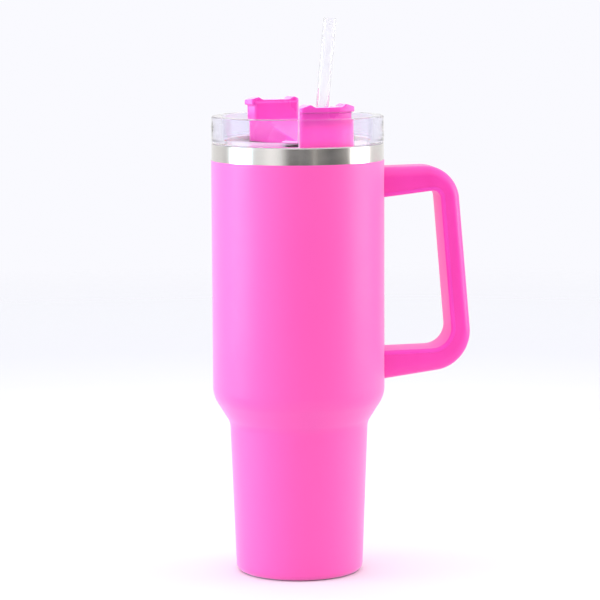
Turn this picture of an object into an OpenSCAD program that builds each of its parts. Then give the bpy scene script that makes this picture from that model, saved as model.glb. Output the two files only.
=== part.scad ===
// Insulated steel tumbler: vacuum cup, side handle, screw-in clear lid, turning cover and straw.
// Millimetres. The cup stands on z = 0 on the +Z axis, and the handle points along +X.

/* [Cup] */
// Radius of the coated upper body
body_r = 49; // [45:0.5:53]
// Radius the lower taper would have at the floor
foot_r = 36.1; // [33:0.1:38]
// Radius of the lower taper where the shoulder begins
waist_r = 39.3; // [38.5:0.1:41]
// Height of the lower corner of the shoulder
waist_z = 86.1; // [80:0.1:90]
// Height of the upper corner of the shoulder
shoulder_z = 101.6; // [98:0.1:106]
// Blend radius at the lower corner of the shoulder
waist_blend = 10; // [6:1:14]
// Blend radius at the upper corner of the shoulder
shoulder_blend = 17; // [10:1:20]
// Radius of the rounded bottom edge
foot_edge = 4.3; // [3.5:0.1:5]
// Height of the top edge of the coating, where the bare steel band begins
coat_top = 235.8; // [230:0.1:238]
// Height of the steel rim
rim_z = 245.2; // [243.5:0.1:247]

/* [Walls] */
// Thickness of the powder coat
coat_t = 0.25; // [0.15:0.05:0.4]
// Thickness of the outer steel shell
shell_t = 0.8; // [0.6:0.1:1]
// Width of the vacuum space
vacuum_gap = 2.2; // [2:0.1:2.6]
// Thickness of the steel liner
liner_t = 0.7; // [0.5:0.1:0.9]
// Height of the drinking side of the cup floor
floor_z = 10.2; // [9.8:0.1:12]
// Radius inside the threaded mouth
mouth_r = 45.6; // [45.4:0.1:45.8]

/* [Handle] */
// Size of the handle from its front face to its back face
handle_w = 25; // [22:1:28]
// Wall thickness of the moulded handle channel
handle_t = 2.5; // [2:0.1:3]
// Thickness of the cover strip on the finger side
strip_t = 2.4; // [2:0.1:3]
// Reach of the outer upper corner, before rounding
grip_top_x = 90.2; // [86:0.1:94]
// Reach of the outer lower corner, before rounding
grip_low_x = 100.1; // [96:0.1:104]
// Thickness of the grip from finger side to palm side
grip_t = 11.8; // [11:0.1:12.5]
// Rounding of the outer upper corner
grip_top_round = 20.5; // [14:0.5:22]
// Rounding of the outer lower corner
grip_low_round = 22.5; // [16:0.5:24]

/* [Lid] */
// Outer radius of the clear lid ring
lid_r = 48.7; // [48:0.1:49]
// Height of the top of the lid ring
lid_top = 260.8; // [258:0.1:264]
// Height of the floor of the lid recess
recess_z = 242.3; // [241:0.1:243]
// Radius of the lid skirt between its threads
skirt_r = 43.9; // [43.6:0.1:44.1]
// Height of the lower end of the lid skirt
skirt_z = 227; // [225:0.5:229]
// Rise of the lid in one full turn
thread_lead = 18; // [15:1:18]

/* [Turning cover] */
// Bearing of the straw end of the cover, measured from the handle
cover_angle = -73.5; // [-90:0.5:-60]
// Radius of the ends of the cover
cover_r = 41.5; // [40.5:0.1:41.7]
// Turn from the straw end to the closing end, in degrees
seal_turn = 177.5; // [175:0.5:180]
// Half the width of the raised ends, which narrow towards the pivot
tower_half = 16.6; // [15:0.1:17]
// Distance from the pivot to the inner wall of the raised straw end
straw_tower_in = 23.5; // [22:0.5:24.5]
// Distance from the pivot to the inner wall of the raised closing end
seal_tower_in = 30.3; // [28:0.1:32]
// Height of the raised straw end at its inner edge
straw_tower_z = 266.3; // [264:0.1:268]
// Height of the raised closing end at its inner edge
seal_tower_z = 267.6; // [265:0.1:269]

/* [Straw] */
// Outer radius of the straw
straw_r = 3.5; // [3:0.1:3.8]
// Wall thickness of the straw
straw_t = 0.7; // [0.5:0.1:1]
// Lean of the straw from upright, in degrees
straw_lean = 12; // [10:0.5:12]
// Distance from the pivot to the straw at the recess floor
straw_x = 27.1; // [26.5:0.1:27.5]
// Height of the middle of the straw's open upper end
straw_top = 315.6; // [300:0.1:320]

/* [Hidden] */
$fn = 96;

steel = "#b9b7b2";
coat_pink = "#ff5cba";
trim_pink = "#ff3cb4";
clear = [0.90, 0.94, 0.98, 0.45];
silicone = "#f2f0ee";
eps = 0.01;

// Wall positions, counted inwards from the coated surface
shell_in = coat_t + shell_t;
liner_out = shell_in + vacuum_gap;
liner_in = liner_out + liner_t;
foot_wall = (waist_r - foot_r) / waist_z;
cap_top = foot_edge + 0.1;
cap_r = wall_r(foot_edge) - foot_edge;
flange_z = rim_z - 1.3;
neck_z = 224;

// Threads: three ridges on each part, half a pitch apart
thread_starts = 3;
thread_span = 80;
ridge_steps = 16;
ridge_half = 0.8;
mouth_ridge_z = 232;
lid_ridge_z = mouth_ridge_z - thread_lead / thread_starts / 2;

// Handle outlines as corner points [reach, height]
outer_path = [[44, 231.3], [grip_top_x, 232.3], [grip_low_x, 117.2], [44, 109.6]];
inner_path = [
  [44, 214], [grip_top_x - grip_t + 1.4, 218.2], [grip_low_x - grip_t - 0.9, 127.8], [44, 126.9]];
finger_top_round = 4.5;
finger_low_round = 11.5;
inner_rounds = [0, finger_top_round, finger_low_round, 0];
strip_rounds = [0, finger_top_round + strip_t, finger_low_round + strip_t, 0];
outer_rounds = [0, grip_top_round, grip_low_round, 0];
upper_screw_z = 221.4;
lower_screw_z = 121.4;
screw_x = 62;
plate_t = 3;
post_h = 5.4;
screw_length = 7;
bracket_half = 7;
foot_half = 9;

// Lid and cover heights
lid_seat = rim_z + 0.2;
recess_r = cover_r + 0.5;
floor_t = 2.1;
lid_under = recess_z - floor_t;
cover_low = recess_z + 0.4;
hub_z = 244.9;
hub_r = 9;
stem_r = 3.9;
ramp_rise = 0.42;
tower_slope = 0.8;
end_angle = asin(tower_half / cover_r);
lip_in = 31;
lip_h = 2.9;
lip_out = 1.1;
lip_half = tower_half + 1.5;
lip_angle = asin(lip_half / (cover_r + lip_out));
end_round = 2.6;
notch_half = 8.2;
horn_half = 10.9;
horn_h = 2.4;
end_wall = 2.2;
ramp_wall = 2.5;
hollow_tip = end_wall / sin(end_angle);
hollow_r = cover_r - hollow_tip - end_wall;
hollow_from = hub_r + 5;
pad_gap = 0.4;
pad_t = 2.2;
slot_half = 5;
slot_angle = 7;
slot_r = 27.5;
grommet_r = 5.4;
grommet_low = 22.3;

// ---- helpers ----

// Radius of the coated surface on the lower taper
function wall_r(z) = foot_r + foot_wall * z;

// Unit direction at an angle in degrees
function bearing(a) = [cos(a), sin(a)];

// Points of one rounded corner at p, between the directions of a and b
function corner(a, p, b, r, steps = 8) =
  let (
    u = (a - p) / norm(a - p),
    v = (b - p) / norm(b - p),
    half = acos(u * v) / 2,
    middle = p + (u + v) / norm(u + v) * r / sin(half),
    first = p + u * r / tan(half) - middle,
    last = p + v * r / tan(half) - middle,
    start = atan2(first[1], first[0]),
    raw = atan2(last[1], last[0]) - start,
    sweep = raw > 180 ? raw - 360 : raw < -180 ? raw + 360 : raw
  )
  [for (i = [0:steps]) middle + r * bearing(start + sweep * i / steps)];

// A path with its inner points rounded by the matching radii
function rounded(path, radii) = [
  for (i = [0:len(path) - 1])
    each (radii[i] == 0 ? [path[i]] : corner(path[i - 1], path[i], path[i + 1], radii[i]))];

function reversed(points) = [for (i = [len(points) - 1:-1:0]) points[i]];

function arc(middle, r, from, to, steps = 8) =
  [for (i = [0:steps]) middle + r * bearing(from + (to - from) * i / steps)];

// Side of the cup at a depth below the coated surface, from z0 up to z1
function side(depth, z0, z1) = rounded(
  [[wall_r(z0) - depth, z0], [waist_r - depth, waist_z], [body_r - depth, shoulder_z], [body_r - depth, z1]],
  [0, waist_blend, shoulder_blend, 0]);

// Path moved sideways by d, each leg staying parallel to itself
function left_of(a, b) = let (n = (b - a) / norm(b - a)) [-n[1], n[0]];
function meet(a, u, b, v) = a + u * ((b[0] - a[0]) * v[1] - (b[1] - a[1]) * v[0]) / (u[0] * v[1] - u[1] * v[0]);
function shifted(path, d) = [
  for (i = [0:len(path) - 1])
    let (last = len(path) - 1)
      i == 0 ? path[0] + d * left_of(path[0], path[1])
      : i == last ? path[last] + d * left_of(path[last - 1], path[last])
      : let (
          before = left_of(path[i - 1], path[i]),
          after = left_of(path[i], path[i + 1])
        )
        meet(path[i] + d * before, path[i] - path[i - 1], path[i] + d * after, path[i + 1] - path[i])];

// One helical ridge from radius root to radius crest, rising counter-clockwise from z
module ridge(root, crest, z) {
  rings = [
    for (i = [0:ridge_steps])
      let (
        a = thread_span * i / ridge_steps,
        h = z + thread_lead * a / 360,
        end = min(1, 3 * min(i, ridge_steps - i) / ridge_steps + 0.35),
        top = root + (crest - root) * end
      )
      each [
        for (p = [[root, -ridge_half], [top, -ridge_half / 2], [top, ridge_half / 2], [root, ridge_half]])
          [p[0] * cos(a), p[0] * sin(a), h + p[1]]]];
  walls = [
    for (i = [0:ridge_steps - 1], k = [0:3])
      let (a = 4 * i + k, b = 4 * i + (k + 1) % 4)
        each [[a, b, b + 4], [a, b + 4, a + 4]]];
  last = 4 * ridge_steps;
  ends = [[0, 2, 1], [0, 3, 2], [last, last + 1, last + 2], [last, last + 2, last + 3]];
  inward = crest < root;
  faces = concat(walls, ends);
  polyhedron(points = rings, faces = inward ? [for (f = faces) [f[2], f[1], f[0]]] : faces);
}

module thread(root, crest, z) {
  for (i = [0:thread_starts - 1])
    rotate([0, 0, 360 * i / thread_starts]) ridge(root, crest, z);
}

// Region of the handle plane, drawn as reach and height, given depth along Y
module handle_slab(points, depth) {
  rotate([90, 0, 0]) linear_extrude(height = depth, center = true) polygon(points);
}

module screw(length) {
  difference() {
    union() {
      cylinder(r = 1.5, h = length);
      translate([0, 0, -2.3]) cylinder(r = 3.2, h = 2.3);
    }
    translate([0, 0, -2.3 - eps]) cylinder(r = 1.5, h = 1.3, $fn = 6);
  }
}

// Everything on the turning cover is drawn with its straw end along +X
module on_cover() {
  rotate([0, 0, cover_angle]) children();
}

// ---- cup ----

module outer_shell() {
  color(steel) rotate_extrude()
    polygon(concat(side(coat_t, cap_top, flange_z), reversed(side(shell_in, cap_top, flange_z))));
}

module powder_coat() {
  edge = [cap_r, foot_edge];
  color(coat_pink) difference() {
    rotate_extrude() polygon(concat(
      arc(edge, foot_edge, -65, -6),
      side(0, cap_top, coat_top),
      reversed(side(coat_t, cap_top, coat_top)),
      arc(edge, foot_edge - coat_t, -6, -65)));
    for (z = [upper_screw_z + 2, lower_screw_z - 2])
      translate([body_r - 3, -foot_half - 0.2, z - 5.2]) cube([6, 2 * foot_half + 0.4, 10.4]);
  }
}

module inner_liner() {
  neck_out = mouth_r + liner_t;
  low_in = wall_r(floor_z + 6) - liner_in - 6;
  color(steel) union() {
    rotate_extrude() polygon(concat(
      [[0, floor_z - liner_t]],
      arc([low_in, floor_z + 6], 6 + liner_t, -90, -5),
      side(liner_out, floor_z + 6, neck_z - 2),
      [[neck_out, neck_z], [neck_out, flange_z]],
      [[body_r - coat_t, flange_z], [body_r - coat_t, rim_z - 0.5], [body_r - coat_t - 0.5, rim_z]],
      [[mouth_r + 0.7, rim_z], [mouth_r, rim_z - 0.7], [mouth_r, neck_z]],
      reversed(side(liner_in, floor_z + 6, neck_z - 2)),
      arc([low_in, floor_z + 6], 6, -5, -90),
      [[0, floor_z]]));
    thread(mouth_r + 0.3, mouth_r - 1, mouth_ridge_z);
  }
}

module outer_bottom() {
  r = wall_r(cap_top) - shell_in;
  color(steel) rotate_extrude() polygon([
    [2.5, 6], [r - 0.7, 6], [r - 0.7, cap_top + 0.1], [r, cap_top + 0.1], [r, 6.8],
    [9, 6.8], [8, 7], [2.5, 7]]);
}

module base_cap() {
  edge = [cap_r, foot_edge];
  out = foot_edge - coat_t;
  color(steel) rotate_extrude() polygon(concat(
    [[0, 0], [cap_r - 1, 0]],
    arc(edge, out, -90, 0),
    [[cap_r + out, cap_top], [cap_r + out - shell_t, cap_top]],
    arc(edge, out - shell_t, 0, -90),
    [[0, coat_t + shell_t]]));
}

module vacuum_plug() {
  color("#8d8f92") union() {
    translate([0, 0, 6]) cylinder(r = 2.5, h = 1);
    translate([0, 0, 4.6]) cylinder(r1 = 3, r2 = 4.2, h = 1.4);
  }
}

module getter() {
  color("#6c6a66") translate([18, 0, 6.8]) difference() {
    cylinder(r = 4, h = 1.8);
    translate([0, 0, 1]) cylinder(r = 2.8, h = 1);
  }
}

module foil_wrap() {
  r = body_r - shell_in - vacuum_gap / 2;
  color("#c98a5a") translate([0, 0, 112]) difference() {
    cylinder(r = r + 0.1, h = 106);
    translate([0, 0, -1]) cylinder(r = r - 0.1, h = 108);
  }
}

// ---- handle ----

strip_path = shifted(inner_path, strip_t);
strip_line = rounded(strip_path, strip_rounds);
outer_line = rounded(outer_path, outer_rounds);
inner_line = rounded(inner_path, inner_rounds);
hollow_rounds = [0, grip_top_round - handle_t, grip_low_round - handle_t, 0];
hollow_line = rounded(shifted(outer_path, -handle_t), hollow_rounds);

// Space taken by the cup, so that the handle ends lie on its wall
module cup_space(r) {
  translate([0, 0, 90]) cylinder(r = r, h = 160);
}

// Post for a handle screw, standing up or down from height z
module screw_post(z, up, r, h) {
  translate([screw_x, 0, z]) mirror([0, 0, up ? 0 : 1]) cylinder(r = r, h = h);
}

module handle_frame() {
  color(trim_pink) difference() {
    union() {
      difference() {
        handle_slab(concat(outer_line, reversed(strip_line)), handle_w);
        handle_slab(concat(hollow_line, reversed(strip_line)), handle_w - 2 * handle_t);
      }
      screw_post(upper_screw_z + plate_t, true, 3.6, post_h);
      screw_post(lower_screw_z - plate_t, false, 3.6, post_h);
    }
    screw_post(upper_screw_z + plate_t - 1, true, 1.5, post_h);
    screw_post(lower_screw_z - plate_t + 1, false, 1.5, post_h);
    cup_space(body_r);
  }
}

module handle_strip() {
  color("#ff6cc4") difference() {
    handle_slab(concat(strip_line, reversed(inner_line)), handle_w);
    cup_space(body_r);
  }
}

// Foot plate welded to the shell, with a tongue that reaches into the hollow arm
module bracket(foot_low, foot_high, tongue_low) {
  color(steel) difference() {
    union() {
      intersection() {
        translate([body_r - 4, -foot_half, foot_low]) cube([12, 2 * foot_half, foot_high - foot_low]);
        translate([0, 0, foot_low]) cylinder(r = body_r + 1.5, h = foot_high - foot_low);
      }
      translate([body_r - 4, -bracket_half, tongue_low])
        cube([screw_x + 8 - body_r, 2 * bracket_half, plate_t]);
    }
    cup_space(body_r - coat_t);
    translate([screw_x, 0, tongue_low - 1]) cylinder(r = 2.1, h = plate_t + 2);
  }
}

module upper_bracket() {
  bracket(upper_screw_z - 3, upper_screw_z + 7, upper_screw_z);
}

module lower_bracket() {
  bracket(lower_screw_z - 7, lower_screw_z + 3, lower_screw_z - plate_t);
}

module upper_screw() {
  color("#8f9194") translate([screw_x, 0, upper_screw_z]) screw(screw_length);
}

module lower_screw() {
  color("#8f9194") translate([screw_x, 0, lower_screw_z]) mirror([0, 0, 1]) screw(screw_length);
}

// ---- lid ----

module lid_profile() {
  polygon(concat(
    [[skirt_r - 2, skirt_z], [skirt_r - 0.4, skirt_z], [skirt_r, skirt_z + 0.6]],
    [[skirt_r, lid_under], [skirt_r + 0.6, lid_under + 0.2], [skirt_r + 0.6, lid_under + 0.7]],
    [[skirt_r, lid_under + 0.8], [skirt_r, lid_seat], [lid_r - 0.4, lid_seat], [lid_r, lid_seat + 0.4]],
    arc([lid_r - 1.4, lid_top - 1.4], 1.4, 0, 90, 5),
    arc([recess_r + 2.6, lid_top - 1.2], 1.2, 90, 180, 5),
    [[recess_r + 0.5, lid_seat + 1]],
    [[recess_r, recess_z + 1.2], [recess_r - 0.4, recess_z + 0.3], [recess_r - 0.7, recess_z]],
    [[stem_r + 0.1, recess_z], [stem_r + 0.1, lid_under], [skirt_r - 2, lid_under]]));
}

// Curved slot with round ends, on the straw side of the pivot
module drink_slot() {
  on_cover() translate([0, 0, lid_under - 1]) {
    rotate([0, 0, -slot_angle]) rotate_extrude(angle = 2 * slot_angle)
      translate([slot_r - slot_half, 0]) square([2 * slot_half, floor_t + 2]);
    for (a = [-slot_angle, slot_angle])
      rotate([0, 0, a]) translate([slot_r, 0, 0]) cylinder(r = slot_half, h = floor_t + 2);
  }
}

module lid_body() {
  color(clear) difference() {
    union() {
      rotate_extrude() lid_profile();
      thread(skirt_r - 0.3, skirt_r + 1.2, lid_ridge_z);
    }
    drink_slot();
    on_cover() translate([-32, 0, lid_under - 1]) cylinder(r = 1, h = floor_t + 2);
  }
}

module lid_gasket() {
  low = lid_under + 0.9;
  in = skirt_r + 0.08;
  color(silicone) rotate_extrude() polygon([
    [in, low], [in + 0.9, low], [mouth_r - 0.25, low + 0.5], [mouth_r - 0.25, low + 1.1],
    [in + 0.8, low + 1.7], [mouth_r - 0.25, low + 2.3], [mouth_r - 0.25, low + 2.9],
    [in + 0.9, lid_seat - 0.1], [in, lid_seat - 0.1]]);
}

// ---- turning cover ----

// Plan of one end of the cover along +X: a sector out to radius r, with rounded outer corners
function end_outline(r, right, left) =
  let (
    inset = r - end_round,
    lean = asin(end_round / inset),
    a = lean - right,
    b = left - lean
  )
  concat(
    [[0, 0]],
    arc(inset * bearing(a), end_round, -right - 90, a, 4),
    [for (i = [1:9]) r * bearing(a + (b - a) * i / 10)],
    arc(inset * bearing(b), end_round, b, left + 90, 4));

// Height of the ramp at a distance from the pivot
function ramp_top(x) = hub_z + ramp_rise * (x - 1);

// Side view of one end: ramp from the hub, inner wall, and gently rising top
module end_side(top, inner) {
  polygon([
    [0, cover_low], [cover_r + 2, cover_low], [cover_r + 2, top + tower_slope],
    [inner, top], [inner, ramp_top(inner)], [1, hub_z], [0, hub_z]]);
}

// Raised rim of an end: a horn on each side of a finger notch, and a lip that overhangs on one side
module tower_lip(top) {
  low = top - lip_h + tower_slope;
  profile = [
    [-lip_half, low], [lip_half, low], [lip_half, top + 0.4], [horn_half, top + horn_h],
    [notch_half, top + tower_slope], [-notch_half, top + tower_slope], [-horn_half, top + horn_h],
    [-lip_half, top - 0.4]];
  intersection() {
    linear_extrude(height = 300) polygon(end_outline(cover_r + lip_out, end_angle, lip_angle));
    translate([lip_in, 0, 0]) rotate([90, 0, 90]) linear_extrude(height = 20) polygon(profile);
  }
}

// One end of the cover, along +X
module cover_end(top, inner) {
  intersection() {
    linear_extrude(height = 300) polygon(end_outline(cover_r, end_angle, end_angle));
    rotate([90, 0, 0]) linear_extrude(height = 60, center = true) end_side(top, inner);
  }
  tower_lip(top);
}

// Hollow under an end, open below, with walls of even thickness
module end_hollow(top, inner) {
  floor = cover_low - 1;
  back = inner + end_wall;
  roof = top - end_wall;
  intersection() {
    translate([hollow_tip, 0, 0]) linear_extrude(height = 300)
      polygon(end_outline(hollow_r, end_angle, end_angle));
    rotate([90, 0, 0]) linear_extrude(height = 60, center = true) polygon([
      [hollow_from, floor], [cover_r, floor], [cover_r, roof], [back, roof],
      [back, ramp_top(back) - ramp_wall], [hollow_from, ramp_top(hollow_from) - ramp_wall]]);
  }
}

// Cylinder on the straw's axis, from a distance above the recess floor
module on_straw_line(r, from, h) {
  translate([straw_x, 0, recess_z]) rotate([0, straw_lean, 0]) translate([0, 0, from]) cylinder(r = r, h = h);
}

module rotating_cover() {
  color(trim_pink) on_cover() difference() {
    union() {
      difference() {
        union() {
          cover_end(straw_tower_z, straw_tower_in);
          rotate([0, 0, seal_turn]) cover_end(seal_tower_z, seal_tower_in);
          translate([0, 0, cover_low]) cylinder(r = hub_r, h = hub_z - cover_low);
        }
        end_hollow(straw_tower_z, straw_tower_in);
        rotate([0, 0, seal_turn]) end_hollow(seal_tower_z, seal_tower_in);
      }
      intersection() {
        on_straw_line(7, -8, 46);
        translate([straw_tower_in - 4, -10, cover_low]) cube([20, 20, 9]);
      }
      translate([0, 0, lid_under - 1.2]) cylinder(r = stem_r, h = floor_t + 3);
    }
    on_straw_line(straw_r + 0.3, -8, 46);
    on_straw_line(grommet_r, grommet_low, 12);
    translate([0, 0, cover_low - 1]) difference() {
      cylinder(r = 6.4, h = 2.6);
      translate([0, 0, -1]) cylinder(r = stem_r, h = 4.6);
    }
    translate([0, 0, lid_under - 2]) cylinder(r = 1.5, h = 5);
  }
}

module drink_seal() {
  low = recess_z + 0.2;
  color(silicone) on_cover() rotate([0, 0, seal_turn]) intersection() {
    translate([hollow_tip + pad_gap, 0, low]) linear_extrude(height = pad_t)
      polygon(end_outline(hollow_r - 2 * pad_gap, end_angle, end_angle));
    translate([hollow_from + 3, -30, low]) cube([30, 60, pad_t]);
  }
}

module hub_o_ring() {
  color(silicone) translate([0, 0, recess_z + 0.95]) rotate_extrude()
    translate([stem_r + 1.2, 0]) circle(r = 0.85, $fn = 32);
}

module pivot_screw() {
  color("#8f9194") translate([0, 0, lid_under - 2.3]) screw(5);
}

module pivot_washer() {
  color(steel) translate([0, 0, lid_under - 2.3]) difference() {
    cylinder(r = 7.5, h = 1.1);
    translate([0, 0, -1]) cylinder(r = 1.5, h = 4);
  }
}

module straw_grommet() {
  color(silicone) on_cover() difference() {
    on_straw_line(grommet_r, grommet_low, 1.6);
    on_straw_line(straw_r + 0.08, grommet_low - 1, 4);
  }
}

module straw() {
  low = (floor_z + 1.1 - recess_z) / cos(straw_lean);
  high = (straw_top - recess_z) / cos(straw_lean);
  color(clear) on_cover() difference() {
    on_straw_line(straw_r, low, high - low);
    on_straw_line(straw_r - straw_t, low - 1, high - low + 2);
  }
}

outer_shell();
powder_coat();
inner_liner();
outer_bottom();
base_cap();
vacuum_plug();
getter();
foil_wrap();
handle_frame();
handle_strip();
upper_bracket();
lower_bracket();
upper_screw();
lower_screw();
lid_body();
lid_gasket();
rotating_cover();
drink_seal();
hub_o_ring();
pivot_screw();
pivot_washer();
straw_grommet();
straw();
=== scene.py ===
"""Looks of the insulated tumbler: coated vacuum cup, moulded handle, clear lid, turning cover and straw."""
import math

import bmesh
import bpy
from mathutils import Matrix, Vector


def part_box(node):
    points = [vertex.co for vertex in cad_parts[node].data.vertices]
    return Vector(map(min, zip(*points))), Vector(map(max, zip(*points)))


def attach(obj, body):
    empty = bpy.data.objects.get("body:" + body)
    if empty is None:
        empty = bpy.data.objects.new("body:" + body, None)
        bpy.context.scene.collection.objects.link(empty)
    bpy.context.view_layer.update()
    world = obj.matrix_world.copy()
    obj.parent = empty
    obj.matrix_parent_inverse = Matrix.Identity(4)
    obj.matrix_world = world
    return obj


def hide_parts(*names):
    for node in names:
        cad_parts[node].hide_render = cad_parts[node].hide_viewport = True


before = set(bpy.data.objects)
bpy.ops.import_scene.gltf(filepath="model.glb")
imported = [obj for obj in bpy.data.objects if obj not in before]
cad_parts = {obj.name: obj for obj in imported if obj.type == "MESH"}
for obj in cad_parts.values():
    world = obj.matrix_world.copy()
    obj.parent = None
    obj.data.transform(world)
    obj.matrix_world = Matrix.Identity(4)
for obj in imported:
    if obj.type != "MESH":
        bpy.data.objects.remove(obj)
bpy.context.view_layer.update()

MM = 0.001
TURN = 2 * math.pi
ROUND_STEPS = 224


# ---- sizes, in millimetres ----

def low(name):
    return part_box(name)[0] / MM


def high(name):
    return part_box(name)[1] / MM


# Cup
BODY_R = -low("powder_coat").x
COAT_TOP = high("powder_coat").z
RIM_Z = high("inner_liner").z
SHELL_TOP = high("outer_shell").z
COAT = 0.25
SHELL = 0.8
GAP = 2.2
LINER = 0.7
FOOT_R = 36.1
WAIST_R = 39.3
WAIST_Z = 86.1
SHOULDER_Z = 101.6
WAIST_BLEND = 10
SHOULDER_BLEND = 17
FOOT_EDGE = 4.3
REST_R = 26.9
BASE_DISH = 0.9
FLOOR_Z = 10.2
NECK_Z = 224
MOUTH_R = 45.6
RIM_ROUND_OUT = 0.6
RIM_ROUND_IN = 0.9
LINER_KNEE = 6

# Threads, three starts on each part
THREAD_LEAD = 18
THREAD_SPAN = 80
THREAD_STEP = 0.35
THREAD_FADE = 8
RIDGE_HALF = 1.0
MOUTH_RIDGE_H = 1
LID_RIDGE_H = 1.2
MOUTH_RIDGE_Z = 232
LID_RIDGE_Z = MOUTH_RIDGE_Z - THREAD_LEAD / 6

# Handle, as corner points (reach, height)
HANDLE_W = high("handle_frame").y
WALL = 2.5
STRIP = 2.4
OUTER_PATH = [(44, 231.2), (90.1, 232.2), (100, 117.3), (44, 109.7)]
INNER_PATH = [(44, 214), (79.8, 218.2), (87.4, 127.8), (44, 126.9)]
OUTER_ROUNDS = (20.5, 22.5)
INNER_ROUNDS = (4.5, 11.5)
GRIP_EDGE = 6.2
HOLLOW_EDGE = 3.8
FINGER_EDGE = 1.6
SEAM_EDGE = 0.12

# Lid
LID_R = high("lid_body").y
LID_TOP = high("lid_body").z
SKIRT_Z = low("lid_body").z
LID_SEAT = RIM_Z + 0.2
RECESS_Z = 242.3
RECESS_R = 42
FLOOR = 2.1
FROST_TOP = RECESS_Z + 0.2
FROST_FADE = 1.2
SKIRT_R = 43.9
RING_WALL_R = RECESS_R + 0.8
RING_ROUND = 0.9
FLANGE_OUT = 0.6
SLOT_R = 27.5
SLOT_HALF = 5
SLOT_ANGLE = 7
VENT_X = -32
VENT_R = 1

# Turning cover, drawn with its straw end along +X and then turned
COVER_ANGLE = math.radians(-73.5)
SEAL_TURN = math.radians(177.5)
COVER_R = 41.5
COVER_LOW = RECESS_Z + 0.4
TOWER_HALF = 16.6
STRAW_TOWER_IN = 23.5
SEAL_TOWER_IN = 30.3
STRAW_TOWER_Z = 266.3
SEAL_TOWER_Z = 267.6
TOWER_SLOPE = 0.8
TOWER_ROUND = 2.6
TOWER_EDGE = 2.2
RAMP_START = 1
RAMP_RISE = 0.42
RAMP_OVERLAP = 5
END_WALL = 2.2
HUB_Z = 244.9
HUB_R = 9
HOLLOW_START = HUB_R + 5
STEM_R = 3.9
STEM_LOW = 239
O_RING_GROOVE_R = 6.4
SCREW_HOLE_R = 1.5
LIP_IN = 31
LIP_H = 2.9
LIP_OUT = 1.1
LIP_HALF = TOWER_HALF + 1.5
END_ROUND = 2.6
END_ANGLE = math.degrees(math.asin(TOWER_HALF / COVER_R))
LIP_ANGLE = math.degrees(math.asin(LIP_HALF / (COVER_R + LIP_OUT)))
NOTCH_HALF = 8.2
HORN_HALF = 10.9
HORN_H = 2.4
TALL = (230, 280)
WIDE = (-30, 30)
COVER_VOXEL = 0.33
COVER_SOFTENING = 5

# Straw
STRAW_R = 3.5
STRAW_WALL = 0.7
STRAW_LEAN = math.radians(12)
STRAW_X = 27.1
STRAW_TOP = 315.6
STRAW_BORE_R = STRAW_R + 0.35
BORE_SPAN = (-8, 38)
GUIDE_R = 7
GROMMET_R = 5.35
GROMMET_LOW = 22.35
GROMMET_HIGH = 23.85

# Studio, in metres and in the renderer's units of light
FLOOR_R = 3.0
FLOOR_STEPS = 96
SOFTBOX_LIGHT = 4.6
FILL_LIGHT = 0.15
CEILING = (1.25, 1.23, 1.3)
BACKDROP = (0.955, 0.955, 1.0)
THROUGH_PLASTIC = (3.7, 3.7, 2.6)
WHITE, WARM, COOL = (1, 1, 1), (1.0, 0.94, 0.84), (1.0, 1.32, 1.45)
CLEAR_BOUNCES = 24

# Camera, measured round the cup from the handle's side view
CAMERA_AZIMUTH = math.radians(-8.5)
CAMERA_BACK = 1.538
CAMERA_HEIGHT = 0.3438
CAMERA_PITCH = 0.1217
CAMERA_YAW = 0.0006
CAMERA_ROLL = -0.0048
CAMERA_LENS = 163.3


# ---- outlines ----

def bearing(angle):
    return Vector((math.cos(angle), math.sin(angle)))


def bearing_degrees(angle):
    return bearing(math.radians(angle))


def arc(middle, r, start, end, steps=8):
    """Points of an arc, with its start and end in degrees."""
    a, b = math.radians(start), math.radians(end)
    return [Vector(middle) + r * bearing(a + (b - a) * i / steps) for i in range(steps + 1)]


def corner(before, point, after, r, steps=8):
    """Points that round the corner at point."""
    u, v = (before - point).normalized(), (after - point).normalized()
    half = u.angle(v) / 2
    middle = point + (u + v).normalized() * r / math.sin(half)
    first = point + u * r / math.tan(half) - middle
    last = point + v * r / math.tan(half) - middle
    start = math.atan2(first.y, first.x)
    sweep = (math.atan2(last.y, last.x) - start + math.pi) % TURN - math.pi
    return [middle + r * bearing(start + sweep * i / steps) for i in range(steps + 1)]


def rounded(points, radii, steps=8, closed=False):
    """The outline with each corner rounded by its own radius; 0 keeps a corner sharp."""
    points = [Vector(p) for p in points]
    count = len(points)
    out = []
    for i, (point, r) in enumerate(zip(points, radii)):
        if r == 0 or (not closed and i in (0, count - 1)):
            out.append(point)
        else:
            out += corner(points[i - 1], point, points[(i + 1) % count], r, steps)
    return out


def wall_r(z):
    return FOOT_R + (WAIST_R - FOOT_R) * z / WAIST_Z


def side(depth, z0, z1, steps=10):
    """Side of the cup at a depth below the coated surface."""
    corners = [(wall_r(z0) - depth, z0), (WAIST_R - depth, WAIST_Z), (BODY_R - depth, SHOULDER_Z)]
    return rounded([*corners, (BODY_R - depth, z1)], [0, WAIST_BLEND, SHOULDER_BLEND, 0], steps)


def stack(r, z0, z1, step):
    """Points up a straight wall, close enough together to carry a thread."""
    count = max(1, round(abs(z1 - z0) / step))
    return [Vector((r, z0 + (z1 - z0) * i / count)) for i in range(count + 1)]


# ---- meshes, in millimetres until they are placed ----

def mesh_object(name, points, faces, smooth_angle=35):
    mesh = bpy.data.meshes.new(name)
    mesh.from_pydata([tuple(p) for p in points], [], faces)
    build = bmesh.new()
    build.from_mesh(mesh)
    bmesh.ops.recalc_face_normals(build, faces=build.faces)
    build.to_mesh(mesh)
    build.free()
    mesh.shade_smooth()
    mesh.set_sharp_from_angle(angle=math.radians(smooth_angle))
    obj = bpy.data.objects.new(name, mesh)
    bpy.context.scene.collection.objects.link(obj)
    return obj


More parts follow.
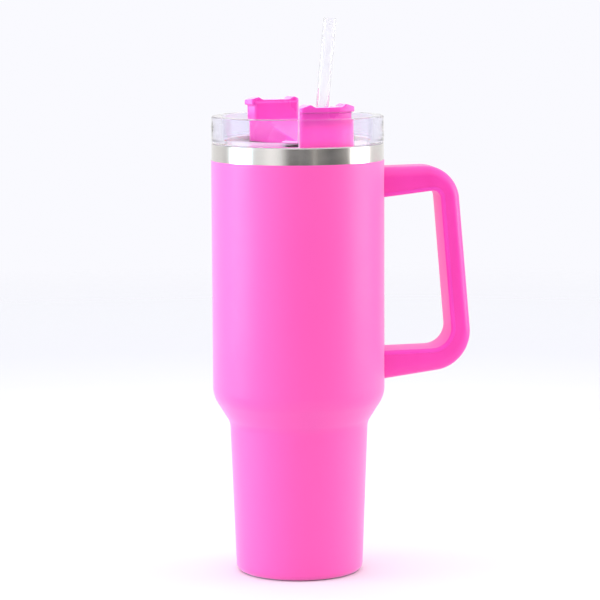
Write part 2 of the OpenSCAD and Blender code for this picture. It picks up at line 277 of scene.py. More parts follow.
def lathe(name, outline, steps=ROUND_STEPS, grow=None, smooth_angle=35):
    """Closed solid of revolution. Ends on the axis become poles; otherwise the outline closes on itself."""
    points, rings = [], []
    for r, z in outline:
        if r < 1e-6:
            rings.append([len(points)] * steps)
            points.append((0, 0, z))
            continue
        rings.append(list(range(len(points), len(points) + steps)))
        for i in range(steps):
            angle = TURN * i / steps
            radius = r + grow(r, z, angle) if grow else r
            points.append((radius * math.cos(angle), radius * math.sin(angle), z))
    loops = list(zip(rings, rings[1:]))
    if outline[0][0] > 1e-6:
        loops.append((rings[-1], rings[0]))
    faces = []
    for a, b in loops:
        for i in range(steps):
            j = (i + 1) % steps
            face = list(dict.fromkeys((a[i], a[j], b[j], b[i])))
            if len(face) > 2:
                faces.append(face)
    return mesh_object(name, points, faces, smooth_angle)


def prism(outline, start, end, place):
    """Closed prism of an outline between two depths; place turns (u, v, depth) into a point."""
    count = len(outline)
    points = [place(u, v, d) for d in (start, end) for u, v in outline]
    faces = [list(range(count)), list(range(count, 2 * count))]
    faces += [[i, (i + 1) % count, count + (i + 1) % count, count + i] for i in range(count)]
    return mesh_object("prism", points, faces)


def upright(u, v, d):
    return (u, v, d)


def lengthwise(u, v, d):
    return (u, d, v)


def across(u, v, d):
    return (d, u, v)


def bake(obj):
    """Applies the object's modifiers."""
    mesh = bpy.data.meshes.new_from_object(obj.evaluated_get(bpy.context.evaluated_depsgraph_get()))
    obj.modifiers.clear()
    obj.data = mesh
    return obj


def combine(kind, first, *others):
    """Exact boolean of the first solid with the others, which are used up."""
    for other in others:
        step = first.modifiers.new(kind, "BOOLEAN")
        step.operation = kind
        step.solver = "EXACT"
        step.object = other
        bake(first)
        bpy.data.objects.remove(other)
    return first


def move(obj, matrix):
    obj.data.transform(matrix)
    return obj


def moulded(obj, name, voxel, passes):
    """Even quads over a solid, with its edges softened as a mould leaves them."""
    remesh = obj.modifiers.new("remesh", "REMESH")
    remesh.mode = "VOXEL"
    remesh.voxel_size = voxel
    remesh.use_smooth_shade = True
    soften = obj.modifiers.new("soften", "SMOOTH")
    soften.factor = 0.5
    soften.iterations = passes
    bake(obj)
    obj.data.shade_smooth()
    obj.name = name
    obj.data.name = name
    return obj


def finish_piece(obj, name, material, body, slot, *replaced):
    """Names a piece, gives it its material and puts it in the frame, in metres."""
    obj.name = name
    obj.data.name = name
    obj.data.materials.clear()
    obj.data.materials.append(material)
    obj.data.transform(Matrix.Scale(MM, 4))
    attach(obj, body)
    if replaced:
        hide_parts(*replaced)
    return obj


# ---- materials ----

def surface(name, colour, **sockets):
    """A new material with constant values set on its shader."""
    material = bpy.data.materials.new(name)
    material.use_nodes = True
    shader = material.node_tree.nodes["Principled BSDF"]
    shader.inputs["Base Color"].default_value = (*colour, 1)
    for label, value in sockets.items():
        shader.inputs[label.replace("_", " ").title().replace("Ior", "IOR")].default_value = value
    return material, material.node_tree, shader


def node(tree, kind, settings=(), **inputs):
    """A node with its settings, and inputs that are values or links."""
    made = tree.nodes.new(kind)
    for label, value in dict(settings).items():
        setattr(made, label, value)
    for label, value in inputs.items():
        slot = made.inputs[int(label[1:])] if label[0] == "i" and label[1:].isdigit() else made.inputs[label]
        if isinstance(value, bpy.types.NodeSocket):
            tree.links.new(value, slot)
        else:
            slot.default_value = value
    return made


def noise(tree, size_mm, detail=2.0, stretch=(1, 1, 1), roughness=0.5):
    """Noise whose features measure about size_mm, drawn out by stretch."""
    where = node(tree, "ShaderNodeTexCoord").outputs["Object"]
    scale = [1 / (size_mm * MM * s) for s in stretch]
    mapped = node(tree, "ShaderNodeMapping", Vector=where, Scale=scale).outputs["Vector"]
    texture = node(tree, "ShaderNodeTexNoise", Vector=mapped, Scale=1.0, Detail=detail, Roughness=roughness)
    return texture.outputs["Fac"]


def ranged(tree, value, start, end, low_in=0.3, high_in=0.7):
    """Value spread over a new range."""
    names = {"From Min": low_in, "From Max": high_in, "To Min": start, "To Max": end}
    return node(tree, "ShaderNodeMapRange", Value=value, **names).outputs["Result"]


def mixed(tree, factor, first, second):
    made = node(tree, "ShaderNodeMix", {"data_type": "RGBA"}, Factor=factor)
    made.inputs[6].default_value = (*first, 1)
    made.inputs[7].default_value = (*second, 1)
    return made.outputs[2]


def towards(tree, factor, value, colour):
    """A linked colour, mixed with a constant one by the factor."""
    made = node(tree, "ShaderNodeMix", {"data_type": "RGBA"}, Factor=factor)
    tree.links.new(value, made.inputs[6])
    made.inputs[7].default_value = (*colour, 1)
    return made.outputs[2]


def maths(tree, operation, first, second):
    return node(tree, "ShaderNodeMath", {"operation": operation}, i0=first, i1=second).outputs["Value"]


def vector_maths(tree, operation, first, second):
    made = node(tree, "ShaderNodeVectorMath", {"operation": operation}, i0=first, i1=second)
    return made.outputs["Vector"]


def bump(tree, shader, height_mm, *heights):
    """Adds bumps of a real height to the shader, one after another."""
    normal = None
    for height, size in zip(heights, height_mm):
        made = node(tree, "ShaderNodeBump", Strength=1.0, Distance=size * MM, Height=height)
        if normal:
            tree.links.new(normal, made.inputs["Normal"])
        normal = made.outputs["Normal"]
    tree.links.new(normal, shader.inputs["Normal"])


def coat_material():
    """Satin powder coat: fine orange peel, specks of tint and uneven gloss."""
    material, tree, shader = surface(
        "powder_coat_pink", (0.95, 0.083, 0.445), roughness=0.45, sheen_weight=0.75, sheen_roughness=0.5)
    shader.inputs["Sheen Tint"].default_value = (0.8, 0.7, 1.0, 1)
    peel = noise(tree, 0.9, 2)
    grit = noise(tree, 0.16, 1)
    cloud = noise(tree, 22, 3)
    tint = mixed(tree, ranged(tree, grit, 0, 1), (0.93, 0.076, 0.425), (0.97, 0.09, 0.465))
    tree.links.new(tint, shader.inputs["Base Color"])
    tree.links.new(ranged(tree, cloud, 0.41, 0.50), shader.inputs["Roughness"])
    bump(tree, shader, (0.012, 0.006), peel, grit)
    return material


def plastic_material(name, dark, light, gloss, grain_mm, sheen=0.0):
    """Moulded plastic: fine sparked texture, faint flow marks and uneven gloss."""
    material, tree, shader = surface(name, dark, roughness=gloss, sheen_weight=sheen, sheen_roughness=0.4)
    shader.inputs["Sheen Tint"].default_value = (0.9, 0.9, 1.0, 1)
    grain = noise(tree, grain_mm, 2)
    flow = noise(tree, 14, 3, (1, 1, 2.5))
    tree.links.new(mixed(tree, ranged(tree, flow, 0, 1), dark, light), shader.inputs["Base Color"])
    tree.links.new(ranged(tree, flow, gloss - 0.04, gloss + 0.05), shader.inputs["Roughness"])
    bump(tree, shader, (0.006, 0.02), grain, flow)
    return material


def steel_material(name, colour, gloss, brush_mm, anisotropic=0.75):
    """Steel brushed round the axis, so that reflections draw out up and down."""
    material, tree, shader = surface(
        name, colour, metallic=1.0, roughness=gloss, anisotropic=anisotropic, anisotropic_rotation=0.25)
    lines = noise(tree, brush_mm, 3, (60, 60, 1), 0.65)
    stain = noise(tree, 9, 2, (3, 3, 1))
    tangent = node(tree, "ShaderNodeTangent", {"direction_type": "RADIAL", "axis": "Z"})
    tree.links.new(tangent.outputs["Tangent"], shader.inputs["Tangent"])
    shade = [c * 0.9 for c in colour]
    tree.links.new(mixed(tree, ranged(tree, lines, 0, 1), shade, colour), shader.inputs["Base Color"])
    tree.links.new(ranged(tree, stain, gloss - 0.03, gloss + 0.04), shader.inputs["Roughness"])
    bump(tree, shader, (0.0015,), lines)
    return material


def clear_material(name, colour, gloss, wave_mm, wave_height, index, clearness=1.0, frost_top=None):
    """Clear moulded plastic with slight flow waves.

    Below frost_top, in millimetres, it is frosted, most of all where it is seen at a low angle.
    """
    material, tree, shader = surface(
        name, colour, roughness=gloss, ior=index, transmission_weight=clearness)
    wave = noise(tree, wave_mm, 1)
    scuff = noise(tree, 0.5, 2, (1, 8, 1))
    tree.links.new(ranged(tree, scuff, gloss, gloss + 0.03), shader.inputs["Roughness"])
    if frost_top:
        where = node(tree, "ShaderNodeTexCoord").outputs["Object"]
        height = node(tree, "ShaderNodeSeparateXYZ", Vector=where).outputs["Z"]
        above = ranged(tree, height, 0, 1, frost_top * MM, (frost_top + FROST_FADE) * MM)
        facing = node(tree, "ShaderNodeLayerWeight", Blend=0.5).outputs["Facing"]
        through = ranged(tree, facing, 0.9, 0.25, 0.3, 0.85)
        tree.links.new(maths(tree, "MAXIMUM", above, through), shader.inputs["Transmission Weight"])
    bump(tree, shader, (wave_height, 0.0004), wave, scuff)
    return material


def silicone_material():
    """Milky silicone rubber with a dull, finely textured skin."""
    material, tree, shader = surface(
        "milky_silicone", (0.86, 0.86, 0.87), roughness=0.5, subsurface_weight=0.3)
    shader.inputs["Subsurface Scale"].default_value = 2 * MM
    skin = noise(tree, 0.3, 2)
    cloud = noise(tree, 5, 2)
    milk = mixed(tree, ranged(tree, cloud, 0, 1), (0.82, 0.82, 0.84), (0.9, 0.9, 0.9))
    tree.links.new(milk, shader.inputs["Base Color"])
    tree.links.new(ranged(tree, skin, 0.45, 0.58), shader.inputs["Roughness"])
    bump(tree, shader, (0.008,), skin)
    return material


def foil_material():
    """Thin copper foil, creased where it was wrapped."""
    material, tree, shader = surface("copper_foil", (0.82, 0.45, 0.26), metallic=1.0, roughness=0.28)
    crease = noise(tree, 7, 5, (1, 1, 0.5), 0.7)
    tree.links.new(ranged(tree, crease, 0.2, 0.42), shader.inputs["Roughness"])
    tone = mixed(tree, ranged(tree, crease, 0, 1), (0.72, 0.38, 0.2), (0.88, 0.5, 0.3))
    tree.links.new(tone, shader.inputs["Base Color"])
    bump(tree, shader, (0.5,), crease)
    return material


def metal_part_material(name, dark, light, gloss, grain_mm, grain_height):
    """Turned, stamped or sintered metal of a small hidden part."""
    material, tree, shader = surface(name, dark, metallic=1.0, roughness=gloss)
    grain = noise(tree, grain_mm, 4)
    tree.links.new(mixed(tree, ranged(tree, grain, 0, 1), dark, light), shader.inputs["Base Color"])
    tree.links.new(ranged(tree, grain, gloss - 0.06, gloss + 0.1), shader.inputs["Roughness"])
    bump(tree, shader, (grain_height,), grain)
    return material


# ---- cup ----

def thread(z0, height, outward):
    """Change of radius that raises three smooth helical ridges on a straight wall."""
    def grow(r, z, angle):
        turned = math.degrees(angle) % 120
        if turned > THREAD_SPAN:
            return 0
        off = abs(z - z0 - THREAD_LEAD * turned / 360) / RIDGE_HALF
        fade = min(1, turned / THREAD_FADE, (THREAD_SPAN - turned) / THREAD_FADE)
        if off >= 1:
            return 0
        return outward * height * fade * min(1, 1.5 * (1 - off ** 2))
    return grow


def make_coat(material):
    edge = (wall_r(FOOT_EDGE) - FOOT_EDGE, FOOT_EDGE)
    foot_top = FOOT_EDGE + 0.1
    outline = arc(edge, FOOT_EDGE, -65, -3, 14)
    outline += side(0, foot_top, COAT_TOP - 0.2)
    outline += [(BODY_R - 0.06, COAT_TOP - 0.05), (BODY_R - 0.13, COAT_TOP), (BODY_R - COAT, COAT_TOP)]
    outline += reversed(side(COAT, foot_top, COAT_TOP - 0.3))
    outline += arc(edge, FOOT_EDGE - COAT, -3, -65, 14)
    coat = lathe("coat", outline, smooth_angle=50)
    finish_piece(coat, "coat_skin", material, "cup", "coat", "powder_coat")


def make_shell(material):
    foot_top = FOOT_EDGE + 0.1
    outline = side(COAT, foot_top, SHELL_TOP)
    outline += reversed(side(COAT + SHELL, foot_top, SHELL_TOP))
    shell = lathe("shell", outline)
    finish_piece(shell, "steel_shell", material, "cup", "steel", "outer_shell")


def make_liner(material):
    outer, inner = COAT + SHELL + GAP, COAT + SHELL + GAP + LINER
    knee_z = FLOOR_Z + LINER_KNEE
    knee = (wall_r(knee_z) - inner - LINER_KNEE, knee_z)
    rim_r = BODY_R - COAT
    outline = [(0, FLOOR_Z - LINER)] + arc(knee, LINER_KNEE + LINER, -90, -5)
    outline += side(outer, knee_z, NECK_Z - 2)
    outline += [(MOUTH_R + LINER, NECK_Z), (MOUTH_R + LINER, SHELL_TOP), (rim_r, SHELL_TOP)]
    outline += arc((rim_r - RIM_ROUND_OUT, RIM_Z - RIM_ROUND_OUT), RIM_ROUND_OUT, 0, 90, 6)
    outline += arc((MOUTH_R + RIM_ROUND_IN, RIM_Z - RIM_ROUND_IN), RIM_ROUND_IN, 90, 180, 6)
    outline += stack(MOUTH_R, RIM_Z - 1.6, NECK_Z + 1, THREAD_STEP)
    outline += reversed(side(inner, knee_z, NECK_Z - 2))
    outline += arc(knee, LINER_KNEE, -5, -90) + [(0, FLOOR_Z)]
    ridges = thread(MOUTH_RIDGE_Z, MOUTH_RIDGE_H, -1)

    def grow(r, z, angle):
        return ridges(r, z, angle) if abs(r - MOUTH_R) < 0.01 else 0

    liner = lathe("liner", outline, grow=grow)
    finish_piece(liner, "steel_liner", material, "cup", "steel", "inner_liner")


def make_base(material):
    cap_r = wall_r(FOOT_EDGE) - FOOT_EDGE
    edge = (cap_r, FOOT_EDGE)
    reach = FOOT_EDGE - COAT
    top = FOOT_EDGE + 0.1
    outline = [(0, BASE_DISH), (REST_R - 1.7, BASE_DISH), (REST_R - 0.8, 0.55), (REST_R, 0), (cap_r - 1, 0)]
    outline += arc(edge, reach, -88, 0, 12) + [(cap_r + reach, top), (cap_r + reach - SHELL, top)]
    inside = COAT + SHELL
    outline += arc(edge, reach - SHELL, 0, -90, 8)
    outline += [(REST_R - 0.9, inside), (REST_R - 1.9, inside + 0.5), (0, inside + 0.5)]
    base = lathe("base", outline)
    finish_piece(base, "steel_base", material, "cup", "steel", "base_cap")


# ---- handle ----

def left_of(a, b):
    n = (b - a).normalized()
    return Vector((-n.y, n.x))


def shifted(path, distance):
    """The path moved sideways, each leg parallel to itself."""
    path = [Vector(p) for p in path]
    out = [path[0] + distance * left_of(path[0], path[1])]
    for a, b, c in zip(path, path[1:], path[2:]):
        u, v = b - a, c - b
        p, q = b + distance * left_of(a, b), b + distance * left_of(b, c)
        out.append(p + u * (q - p).cross(v) / u.cross(v))
    return out + [path[-1] + distance * left_of(path[-2], path[-1])]


def ladder(name, near, far, section):
    """Sweeps a section between two paths that have the same number of points.

    section(width) lists closed outline points as (distance from near towards far, sideways).
    """
    rings = []
    for a, b in zip(near, far):
        width = (b - a).length
        out = (b - a) / width
        rings.append([Vector((a.x + out.x * u, v, a.y + out.y * u)) for u, v in section(width)])
    for end, following in ((0, 1), (-1, -2)):
        for i, point in enumerate(rings[end]):
            inner = rings[following][i]
            reach = math.sqrt(BODY_R ** 2 - point.y ** 2)
            rings[end][i] = inner + (point - inner) * (inner.x - reach) / (inner.x - point.x)
    count = len(rings[0])
    points = [p for ring in rings for p in ring]
    faces = [list(range(count)), list(range(len(points) - count, len(points)))]
    for k in range(len(rings) - 1):
        for i in range(count):
            a, b = k * count + i, k * count + (i + 1) % count
            faces.append([a, b, b + count, a + count])
    return mesh_object(name, points, faces, 50)


def make_handle(frame_material, strip_painted_light_material):
    steps = 20
    strip_rounds = [r + STRIP for r in INNER_ROUNDS]
    outer = rounded(OUTER_PATH, [0, *OUTER_ROUNDS, 0], steps)
    seam = rounded(shifted(INNER_PATH, STRIP), [0, *strip_rounds, 0], steps)
    inner = rounded(INNER_PATH, [0, *INNER_ROUNDS, 0], steps)

    def channel(width):
        w, wall = HANDLE_W, WALL
        outside = [(0, -w), (width, -w), (width, w), (0, w)]
        inside = [(0, w - wall), (width - wall, w - wall), (width - wall, wall - w), (0, wall - w)]
        skin = rounded(outside, [SEAM_EDGE, GRIP_EDGE, GRIP_EDGE, SEAM_EDGE], 10, True)
        return skin + rounded(inside, [0, HOLLOW_EDGE, HOLLOW_EDGE, 0], 5, True)

    def flat(width):
        w = HANDLE_W
        corners = [(0, -w), (width - 0.02, -w), (width - 0.02, w), (0, w)]
        return rounded(corners, [FINGER_EDGE, SEAM_EDGE, SEAM_EDGE, FINGER_EDGE], 6, True)

    shell = ladder("frame", seam, outer, channel)
    strip = ladder("strip", inner, seam, flat)
    finish_piece(shell, "handle_channel", frame_material, "cup", "handle", "handle_frame")
    # the strip's material carries painted light, a lighter and bluer pink than the channel's
    finish_piece(strip, "handle_inner_strip", strip_painted_light_material, "cup", "handle", "handle_strip")


# ---- lid ----

def make_lid(material):
    under = RECESS_Z - FLOOR
    outline = [(SKIRT_R - 2, SKIRT_Z), (SKIRT_R - 0.5, SKIRT_Z), (SKIRT_R - 0.15, SKIRT_Z + 0.15)]
    outline += stack(SKIRT_R, SKIRT_Z + 0.5, under - 0.6, THREAD_STEP)
    flange_r = SKIRT_R + FLANGE_OUT
    outline += [(flange_r, under + 0.1), (flange_r, under + 0.6), (SKIRT_R, under + 0.8)]
    outline += [(SKIRT_R, LID_SEAT)]
    outline += arc((LID_R - 0.5, LID_SEAT + 0.5), 0.5, -90, 0, 5)
    outline += arc((LID_R - RING_ROUND, LID_TOP - RING_ROUND), RING_ROUND, 0, 90, 8)
    outline += arc((RING_WALL_R + RING_ROUND, LID_TOP - RING_ROUND), RING_ROUND, 90, 180, 8)
    outline += [(RING_WALL_R, LID_SEAT + 2.8), (RING_WALL_R - 0.15, LID_SEAT + 2.3)]
    outline += [(RECESS_R + 0.1, LID_SEAT + 1.2)]
    outline += arc((RECESS_R - 1.4, RECESS_Z + 1.5), 1.5, 0, -90, 8)
    outline += [(STEM_R + 0.1, RECESS_Z), (STEM_R + 0.1, under)]
    outline += arc((SKIRT_R - 3, under - 1), 1, 90, 0, 5)
    ridges = thread(LID_RIDGE_Z, LID_RIDGE_H, 1)

    def grow(r, z, angle):
        return ridges(r, z, angle) if abs(r - SKIRT_R) < 0.01 and z < under else 0

    lid = lathe("lid", outline, grow=grow, smooth_angle=40)
    a, b = -SLOT_ANGLE, SLOT_ANGLE
    outer = arc((0, 0), SLOT_R + SLOT_HALF, a, b, 8)
    inner = arc((0, 0), SLOT_R - SLOT_HALF, b, a, 8)
    far_end = arc(SLOT_R * bearing_degrees(b), SLOT_HALF, b, b + 180, 16)[1:-1]
    near_end = arc(SLOT_R * bearing_degrees(a), SLOT_HALF, a + 180, a + 360, 16)[1:-1]
    slot = prism(outer + far_end + inner + near_end, under - 1, RECESS_Z + 1, upright)
    vent = prism(arc((VENT_X, 0), VENT_R, 0, 360, 24)[:-1], under - 1, RECESS_Z + 1, upright)
    turn = Matrix.Rotation(COVER_ANGLE, 4, "Z")
    combine("DIFFERENCE", lid, move(slot, turn), move(vent, turn))
    lid.data.shade_smooth()
    lid.data.set_sharp_from_angle(angle=math.radians(40))
    finish_piece(lid, "clear_lid", material, "lid", "clear_plastic", "lid_body")


def make_gasket(material):
    under = RECESS_Z - FLOOR
    inner, outer = SKIRT_R + 0.08, MOUTH_R - 0.25
    z = under + 0.9
    outline = [(inner, z), (inner + 0.8, z)]
    outline += [(outer - 0.15, z + 0.45), (outer, z + 0.7), (outer - 0.1, z + 1.0), (inner + 0.8, z + 1.6)]
    outline += [(outer - 0.15, z + 2.2), (outer, z + 2.5), (outer - 0.1, z + 2.8), (inner + 0.9, z + 3.6)]
    outline += [(inner + 0.9, LID_SEAT - 0.2), (inner + 0.8, LID_SEAT - 0.1), (inner, LID_SEAT - 0.1)]
    gasket = lathe("gasket", outline, 160)
    finish_piece(gasket, "rim_gasket", material, "lid_carrier", "silicone", "lid_gasket")


# ---- turning cover ----

def end_outline(r, right, left, start=0.0, inner_round=0.0):
    """Plan of one end: a sector from start out to radius r, with rounded outer corners. Angles in degrees."""
    inset = r - END_ROUND
    lean = math.degrees(math.asin(END_ROUND / inset))
    a, b = lean - right, left - lean
    outer = arc(inset * bearing_degrees(a), END_ROUND, -right - 90, a, 6)
    outer += arc((0, 0), r, a, b, 20)[1:-1]
    outer += arc(inset * bearing_degrees(b), END_ROUND, b, left + 90, 6)
    if not start:
        return [Vector((0, 0))] + outer
    low_corner = Vector((start, -start * math.tan(math.radians(right))))
    high_corner = Vector((start, start * math.tan(math.radians(left))))
    first = corner(high_corner, low_corner, outer[0], inner_round, 8)
    last = corner(outer[-1], high_corner, low_corner, inner_round, 8)
    return first + outer + last


def ramp_top(x):
    return HUB_Z + RAMP_RISE * (x - RAMP_START)


def cover_end(top, inner):
    """One end of the cover: ramp, tower, and lip with its two horns."""
    plan = end_outline(COVER_R, END_ANGLE, END_ANGLE)
    end = inner + RAMP_OVERLAP
    slope = [(0, COVER_LOW), (end, COVER_LOW), (end, ramp_top(end)), (RAMP_START, HUB_Z), (0, HUB_Z)]
    ramp = combine("INTERSECT", prism(plan, *TALL, upright), prism(slope, *WIDE, lengthwise))
    plan = end_outline(COVER_R, END_ANGLE, END_ANGLE, inner, TOWER_ROUND)
    block = rounded(
        [(inner - 1, COVER_LOW), (COVER_R + 2, COVER_LOW), (COVER_R + 2, top + TOWER_SLOPE),
         (inner - 0.2, top)],
        [0, 0, 0, TOWER_EDGE], 8, True)
    tower = combine("INTERSECT", prism(plan, *TALL, upright), prism(block, *WIDE, lengthwise))
    low_z = top - LIP_H + TOWER_SLOPE
    rim = rounded(
        [(-LIP_HALF, low_z), (LIP_HALF, low_z), (LIP_HALF, top + 0.4), (HORN_HALF, top + HORN_H),
         (NOTCH_HALF, top + TOWER_SLOPE), (-NOTCH_HALF, top + TOWER_SLOPE), (-HORN_HALF, top + HORN_H),
         (-LIP_HALF, top - 0.4)],
        [0, 0.4, 0.5, 0.7, 0.8, 0.8, 0.7, 1.2], 5, True)
    plan = end_outline(COVER_R + LIP_OUT, END_ANGLE, LIP_ANGLE, LIP_IN, TOWER_ROUND)
    lip = combine("INTERSECT", prism(plan, *TALL, upright), prism(rim, 20, 60, across))
    return combine("UNION", ramp, tower, lip)


def end_hollow(top, inner):
    """Hollow under an end, open below, with walls of even thickness."""
    tip = END_WALL / math.sin(math.radians(END_ANGLE))
    plan = [p + Vector((tip, 0)) for p in end_outline(COVER_R - tip - END_WALL, END_ANGLE, END_ANGLE)]
    first, back = HOLLOW_START, inner + END_WALL
    floor, under = COVER_LOW - 1, END_WALL + 0.3
    profile = [(first, floor), (COVER_R, floor), (COVER_R, top - END_WALL), (back, top - END_WALL),
               (back, ramp_top(back) - under), (first, ramp_top(first) - under)]
    return combine("INTERSECT", prism(plan, *TALL, upright), prism(profile, *WIDE, lengthwise))


def disc(r, z0, z1, steps=64):
    return prism(arc((0, 0), r, 0, 360, steps)[:-1], z0, z1, upright)


def straw_line():
    """Placement of things drawn up the Z axis from zero onto the straw's axis, before the cover is turned."""
    return Matrix.Translation((STRAW_X, 0, RECESS_Z)) @ Matrix.Rotation(STRAW_LEAN, 4, "Y")


def make_cover(material):
    turn = Matrix.Rotation(SEAL_TURN, 4, "Z")
    straw_end = cover_end(STRAW_TOWER_Z, STRAW_TOWER_IN)
    seal_end = move(cover_end(SEAL_TOWER_Z, SEAL_TOWER_IN), turn)
    solid = combine("UNION", straw_end, seal_end, disc(HUB_R, COVER_LOW, HUB_Z))
    combine("DIFFERENCE", solid, end_hollow(STRAW_TOWER_Z, STRAW_TOWER_IN),
            move(end_hollow(SEAL_TOWER_Z, SEAL_TOWER_IN), turn))
    guide = move(disc(GUIDE_R, *BORE_SPAN), straw_line())
    near, far = STRAW_TOWER_IN - 4, STRAW_TOWER_IN + 16
    box = prism([(near, -10), (far, -10), (far, 10), (near, 10)], COVER_LOW, COVER_LOW + 9, upright)
    combine("UNION", solid, combine("INTERSECT", guide, box), disc(STEM_R, STEM_LOW, COVER_LOW + 0.4))
    groove = disc(O_RING_GROOVE_R, COVER_LOW - 1, COVER_LOW + 1.6)
    combine("DIFFERENCE", groove, disc(STEM_R, COVER_LOW - 2, COVER_LOW + 3))
    bore = move(disc(STRAW_BORE_R, *BORE_SPAN), straw_line())
    seat = move(disc(GROMMET_R + 0.15, GROMMET_LOW - 0.05, BORE_SPAN[1]), straw_line())
    screw_hole = disc(SCREW_HOLE_R, STEM_LOW - 3, COVER_LOW + 0.5, 32)
    combine("DIFFERENCE", solid, bore, seat, groove, screw_hole)
    moulded(solid, "cover", COVER_VOXEL, COVER_SOFTENING)
    move(solid, Matrix.Rotation(COVER_ANGLE, 4, "Z"))
    finish_piece(solid, "turning_cover", material, "cover", "cover", "rotating_cover")


def make_grommet(material):
    bore = STRAW_R + 0.08
    corners = [(bore, GROMMET_LOW), (GROMMET_R, GROMMET_LOW), (GROMMET_R, GROMMET_HIGH), (bore, GROMMET_HIGH)]
    outline = rounded(corners, [0.5, 0.4, 0.4, 0.5], 4, True)
    grommet = lathe("grommet", outline, 64)
    move(grommet, Matrix.Rotation(COVER_ANGLE, 4, "Z") @ straw_line())
    finish_piece(grommet, "straw_seal", material, "cover", "silicone", "straw_grommet")


def make_straw(material):
    bottom = (FLOOR_Z + 1.1 - RECESS_Z) / math.cos(STRAW_LEAN)
    top = (STRAW_TOP - RECESS_Z) / math.cos(STRAW_LEAN)
    bore = STRAW_R - STRAW_WALL
    outline = rounded([(bore, bottom), (STRAW_R, bottom), (STRAW_R, top), (bore, top)],
                      [0.3, 0.3, 0.3, 0.3], 4, True)
    straw = lathe("straw", outline, 64)
    move(straw, Matrix.Rotation(COVER_ANGLE, 4, "Z") @ straw_line())
    finish_piece(straw, "clear_straw", material, "straw", "clear_plastic", "straw")


# ---- studio ----

def make_floor():
    """Pale floor, painted lighter near the cup as a pool of painted light, that fades out far from the cup,
    where the background takes over.
    """
    edge = [FLOOR_R * bearing(TURN * i / FLOOR_STEPS) for i in range(FLOOR_STEPS)]
    points = [(0, 0, 0)] + [(x, y, 0) for x, y in edge]
    faces = [(0, 1 + i, 1 + (i + 1) % FLOOR_STEPS) for i in range(FLOOR_STEPS)]
    floor = mesh_object("floor", points, faces)
    material, tree, shader = surface("pale_floor", (0.6, 0.6, 0.62), roughness=0.9)
    where = node(tree, "ShaderNodeTexCoord").outputs["Object"]
    distance = node(tree, "ShaderNodeVectorMath", {"operation": "LENGTH"}, i0=where).outputs["Value"]
    painted_light_fade = ranged(tree, distance, 0, 1, 0.12, 0.9)
    # painted light: the floor colour is lighter near the cup, to lift the shade around its base
    tree.links.new(mixed(tree, painted_light_fade, (0.82, 0.82, 0.84), (0.65, 0.65, 0.665)), shader.inputs["Base Color"])
    tree.links.new(ranged(tree, distance, 1, 0, 0.7, 1.6), shader.inputs["Alpha"])
    floor.data.materials.append(material)


def tone(level):
    """The dark parts of the room are warm, and its brightest softbox is cool."""
    if level < 0.13:
        return WARM
    return COOL if level > 1 else WHITE


def room_light(tree, right, back, up):
    """Colour of the room in a direction: softboxes and dark gaps in a ring, under a pale ceiling."""
    angle = maths(tree, "ARCTAN2", right, maths(tree, "MULTIPLY", back, -1.0))
    ramp = node(tree, "ShaderNodeValToRGB", Fac=ranged(tree, angle, 0, 1, -math.pi, math.pi))
    # bearing from the front in degrees, positive to the right, and brightness; 1 and over are softboxes
    stops = [
        (-180, 0.22), (-122, 0.21), (-112, 0.17), (-103, 0.25), (-95, 1.1), (-71, 1.1), (-63, 0.2),
        (-50, 0.23), (-36, 0.31), (-24, 0.25), (-12, 0.03), (1, 0.015), (3.5, 0.06), (6, 0.015),
        (18, 0.035), (22, 0.12), (26, 0.05), (46, 0.015), (60, 0.04), (73, 0.08), (80, 1.0),
        (104, 1.0), (112, 0.26), (118, 0.22), (180, 0.22)]
    elements = ramp.color_ramp.elements
    while len(elements) < len(stops):
        elements.new(0.5)
    for element, (degrees, level) in zip(elements, stops):
        element.position = degrees / 360 + 0.5
        element.color = (*(level * c for c in tone(level)), 1)
    bright = node(
        tree, "ShaderNodeVectorMath", {"operation": "SCALE"}, i0=ramp.outputs["Color"], Scale=SOFTBOX_LIGHT)
    return towards(tree, ranged(tree, up, 0, 1, 0.2, 0.6), bright.outputs["Vector"], CEILING)


def make_world():
    """White studio. The camera sees a plain backdrop in place of the room, also through clear plastic."""
    world = bpy.data.worlds.new("studio")
    bpy.context.scene.world = world
    world.use_nodes = True
    tree = world.node_tree
    toward = node(tree, "ShaderNodeTexCoord").outputs["Generated"]
    turned = node(
        tree, "ShaderNodeVectorRotate", {"rotation_type": "Z_AXIS"}, Vector=toward, Angle=-CAMERA_AZIMUTH)
    parts = node(tree, "ShaderNodeSeparateXYZ", Vector=turned.outputs["Vector"]).outputs
    room = room_light(tree, parts["X"], parts["Y"], parts["Z"])
    path = node(tree, "ShaderNodeLightPath").outputs
    lit = vector_maths(tree, "ADD", room, maths(tree, "MULTIPLY", path["Is Diffuse Ray"], FILL_LIGHT))
    # what clear plastic lets through is brighter, but less so from the far left
    not_left = ranged(tree, parts["X"], 0.2, 1, -0.9, -0.5)
    passed = maths(tree, "MULTIPLY", path["Is Transmission Ray"], not_left)
    lit = vector_maths(tree, "MULTIPLY", lit, mixed(tree, passed, WHITE, THROUGH_PLASTIC))
    straight = maths(tree, "MAXIMUM", path["Is Camera Ray"], path["Is Transmission Ray"])
    unlit = maths(tree, "LESS_THAN", path["Diffuse Depth"], 0.5)
    seen = towards(tree, maths(tree, "MULTIPLY", straight, unlit), lit, BACKDROP)
    tree.links.new(seen, tree.nodes["Background"].inputs["Color"])


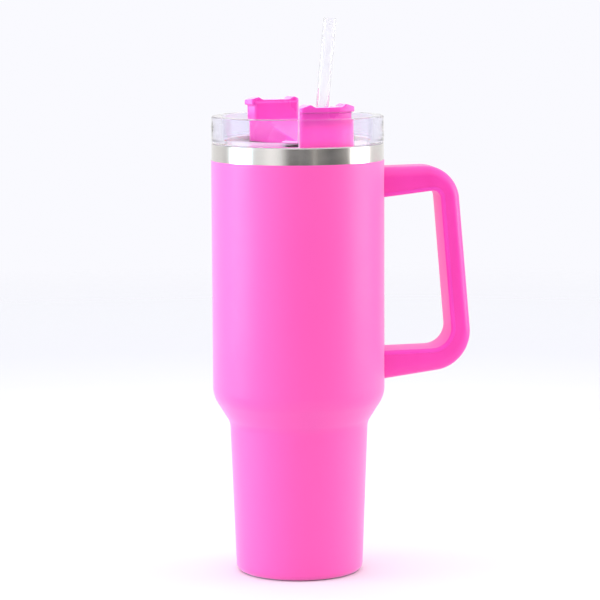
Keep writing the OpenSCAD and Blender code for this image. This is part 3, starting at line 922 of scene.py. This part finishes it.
def make_camera():
    """Camera that looks at the cup along the handle's side view, turned a little towards the handle."""
    data = bpy.data.cameras.new("camera")
    data.lens = CAMERA_LENS
    data.sensor_width = 36
    camera = bpy.data.objects.new("camera", data)
    bpy.context.scene.collection.objects.link(camera)
    level = Matrix.Rotation(CAMERA_AZIMUTH, 4, "Z")
    place = level @ Matrix.Translation((0, -CAMERA_BACK, CAMERA_HEIGHT))
    aim = Matrix.Rotation(-CAMERA_YAW, 4, "Z") @ Matrix.Rotation(math.pi / 2 - CAMERA_PITCH, 4, "X")
    camera.matrix_world = place @ aim @ Matrix.Rotation(CAMERA_ROLL, 4, "Z")
    data.clip_end = 100
    bpy.context.scene.camera = camera


def dress_nodes(names, material):
    for name in names:
        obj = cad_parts[name]
        obj.data.materials.clear()
        obj.data.materials.append(material)


make_camera()
make_world()
make_floor()
bpy.context.scene.view_settings.view_transform = "Standard"
for bounces in ("max_bounces", "glossy_bounces", "transmission_bounces"):
    setattr(bpy.context.scene.cycles, bounces, CLEAR_BOUNCES)

brushed = steel_material("brushed_steel", (0.69, 0.665, 0.64), 0.22, 0.12)
satin = steel_material("satin_steel", (0.66, 0.65, 0.63), 0.34, 0.2, 0.5)
make_coat(coat_material())
make_shell(brushed)
make_liner(brushed)
make_base(satin)
handle_pink = plastic_material("handle_plastic", (0.95, 0.043, 0.435), (0.98, 0.051, 0.475), 0.36, 0.2)
# painted light: the strip is the handle's plastic, painted lighter and bluer for the light from the left
# falling on its inner face
strip_painted_light_pink = plastic_material("strip_plastic_painted_light", (0.95, 0.05, 0.52), (0.98, 0.06, 0.56), 0.4, 0.2)
make_handle(handle_pink, strip_painted_light_pink)
make_lid(clear_material("clear_lid_plastic", (0.87, 0.85, 0.93), 0.01, 9, 0.03, 1.3, frost_top=FROST_TOP))
make_straw(clear_material("clear_straw_plastic", (0.94, 0.93, 0.97), 0.1, 6, 0.002, 1.14, 0.94))
milky = silicone_material()
make_gasket(milky)
make_grommet(milky)
make_cover(plastic_material("cover_plastic", (0.96, 0.06, 0.54), (0.98, 0.07, 0.58), 0.3, 0.25, 0.9))

dress_nodes(["drink_seal", "hub_o_ring"], milky)
dress_nodes(["upper_bracket", "lower_bracket", "outer_bottom", "pivot_washer"], satin)
machined = metal_part_material("machined_screws", (0.5, 0.5, 0.5), (0.62, 0.61, 0.6), 0.3, 0.25, 0.004)
dress_nodes(["upper_screw", "lower_screw", "pivot_screw"], machined)
dress_nodes(["foil_wrap"], foil_material())
solder = metal_part_material("solder", (0.42, 0.42, 0.43), (0.6, 0.6, 0.6), 0.45, 1.2, 0.08)
dress_nodes(["vacuum_plug"], solder)
getter_metal = metal_part_material("getter_metal", (0.2, 0.19, 0.18), (0.34, 0.33, 0.31), 0.6, 0.2, 0.03)
dress_nodes(["getter"], getter_metal)
